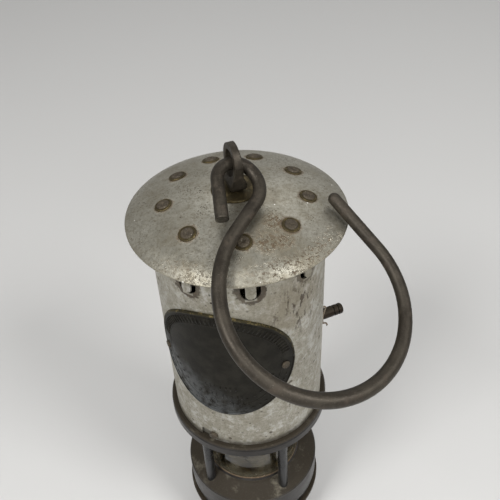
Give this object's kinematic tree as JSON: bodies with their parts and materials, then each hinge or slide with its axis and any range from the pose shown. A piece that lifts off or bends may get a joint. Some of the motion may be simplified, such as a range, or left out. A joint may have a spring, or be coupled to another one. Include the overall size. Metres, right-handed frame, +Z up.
{
  "type": "miner's safety lamp",
  "caption": "Tall cylindrical flame safety lamp: oil vessel, pillar cage with glass, gauzes inside a vented bonnet, riveted round hood, swivel eye and a large carrying hook.",
  "frame": {"origin": "centre of the oil vessel's foot, on the surface the lamp stands on", "axes": "+Z up along the lamp's axis; -Y towards the identification plate; +X to the right when facing the plate"},
  "size_m": [0.1216, 0.1454, 0.2736],
  "materials": {
    "dark_steel": "dark brown patinated steel",
    "forged_steel": "forged round bar, dark brown",
    "tinned_steel": "dull tinned sheet steel with stains",
    "rusted_steel": "rusty steel",
    "old_brass": "tarnished brass",
    "wire": "dull wire",
    "gauze": "woven steel wire gauze",
    "lamp_glass": "thick clear glass, slightly yellow",
    "plate_metal": "blackened metal plate",
    "fibre": "compressed fibre",
    "cotton": "cotton"
  },
  "bodies": {
    "vessel": {"oil_vessel": "dark_steel", "vessel_base_plate": "old_brass", "filler_plug": "old_brass", "filler_washer": "fibre", "cotton_wadding": "cotton", "burner_plate": "old_brass", "wick_tube": "old_brass", "wick": "cotton", "pricker_tube": "old_brass"},
    "pricker": {"pricker_rod": "wire", "pricker_knob": "old_brass"},
    "cage": {"lower_ring": "dark_steel", "middle_ring": "dark_steel", "pillar_1": "dark_steel", "pillar_2": "dark_steel", "pillar_3": "dark_steel", "pillar_4": "dark_steel", "pillar_5": "dark_steel", "bayonet_studs": "rusted_steel", "glass": "lamp_glass", "lower_gasket": "fibre", "upper_gasket": "fibre", "gauze_foot_ring": "old_brass", "gauze_clamp_ring": "old_brass", "outer_gauze": "gauze", "inner_gauze": "gauze"},
    "bonnet": {"bonnet_shell": "tinned_steel", "crown_ring": "tinned_steel", "hood": "tinned_steel", "hood_washers": "old_brass", "hood_rivets": "rusted_steel", "identification_plate": "plate_metal", "plate_rivets": "rusted_steel", "side_nozzle": "rusted_steel", "nozzle_nut": "rusted_steel", "seal_wire": "wire", "eye_washer": "old_brass"},
    "eye": {"swivel_eye": "forged_steel", "swivel_burr": "rusted_steel"},
    "hook": {"hook": "forged_steel"}
  },
  "joints": [
    {"name": "vessel_turn", "type": "hinge", "parent": "vessel", "child": "cage", "pos_m": [0, 0, 0.037], "axis": [0, 0, 1], "continuous": true},
    {"name": "pricker_slide", "type": "slide", "parent": "vessel", "child": "pricker", "axis": [0, 0, 1], "range_m": [0, 0.004]},
    {"name": "bonnet_turn", "type": "hinge", "parent": "cage", "child": "bonnet", "pos_m": [0, 0, 0.1167], "axis": [0, 0, 1], "range_deg": [0, 8]},
    {"name": "eye_swivel", "type": "hinge", "parent": "bonnet", "child": "eye", "pos_m": [0, 0, 0.2508], "axis": [0, 0, 1], "continuous": true},
    {"name": "hook_swing", "type": "hinge", "parent": "eye", "child": "hook", "pos_m": [-0.00124, -0.00283, 0.264], "axis": [-0.8192, -0.5736, 0], "range_deg": [0, 118]}
  ]
}
